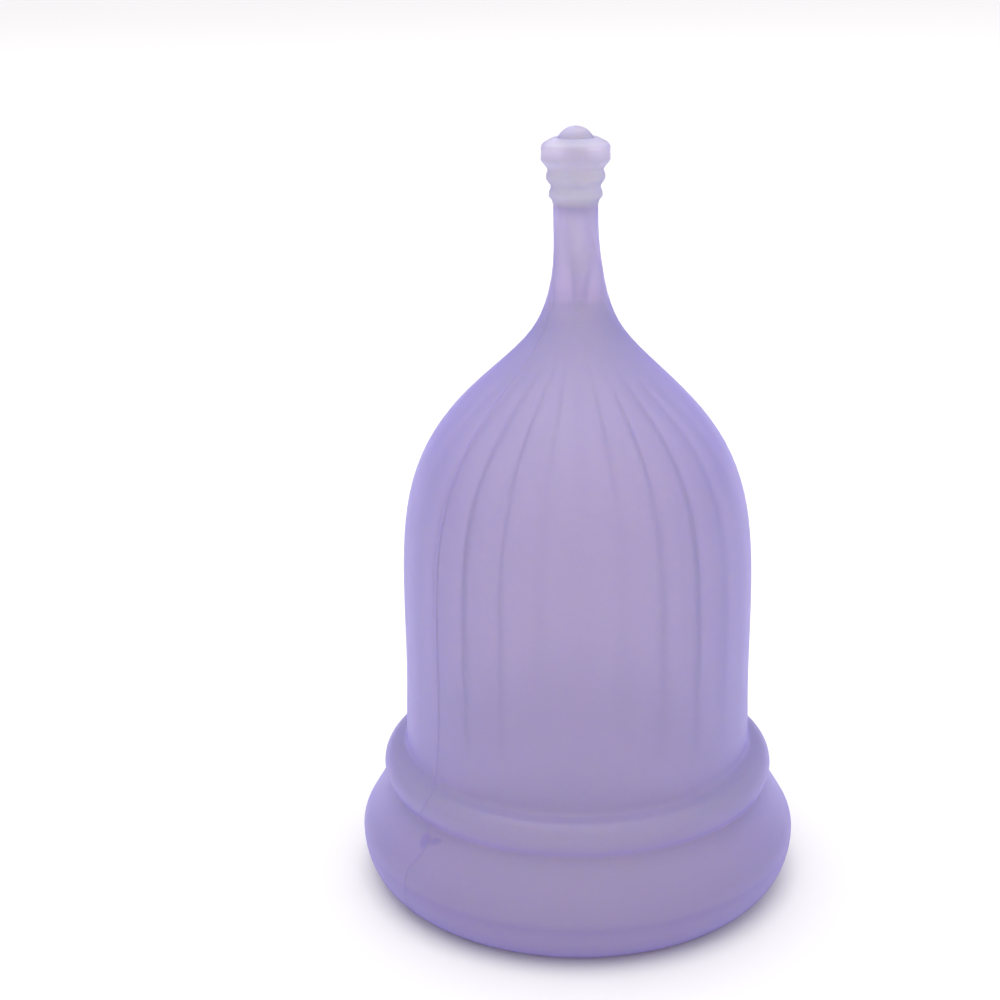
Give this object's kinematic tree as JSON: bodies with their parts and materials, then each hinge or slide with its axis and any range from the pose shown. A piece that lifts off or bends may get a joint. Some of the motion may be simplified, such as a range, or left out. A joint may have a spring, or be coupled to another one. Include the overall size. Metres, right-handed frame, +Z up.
{
  "type": "silicone suction cup",
  "caption": "Soft translucent silicone bell with a double rim bead, inner ribs, a hollow neck stem and a lift-off check valve in its stepped tip.",
  "frame": {"origin": "centre of the rim's resting face, on the table that the cup stands on, mouth down", "axes": "+Z up along the bell's axis towards the valve tip; -Y towards the front view; every piece is round about Z"},
  "size_m": [0.045, 0.045, 0.0767],
  "materials": {
    "cup_silicone": "translucent lilac, satin moulded surface",
    "head_silicone": "translucent pale lilac, satin",
    "plug_silicone": "translucent milky white with a lilac cast, satin"
  },
  "bodies": {
    "cup": {"cup_body": "cup_silicone", "valve_head": "head_silicone"},
    "plug": {"valve_plug": "plug_silicone"}
  },
  "joints": [
    {"name": "plug_lift", "type": "slide", "parent": "cup", "child": "plug", "axis": [0, 0, 1], "range_m": [0, 0.0011], "stiffness_N_per_m": 100}
  ]
}
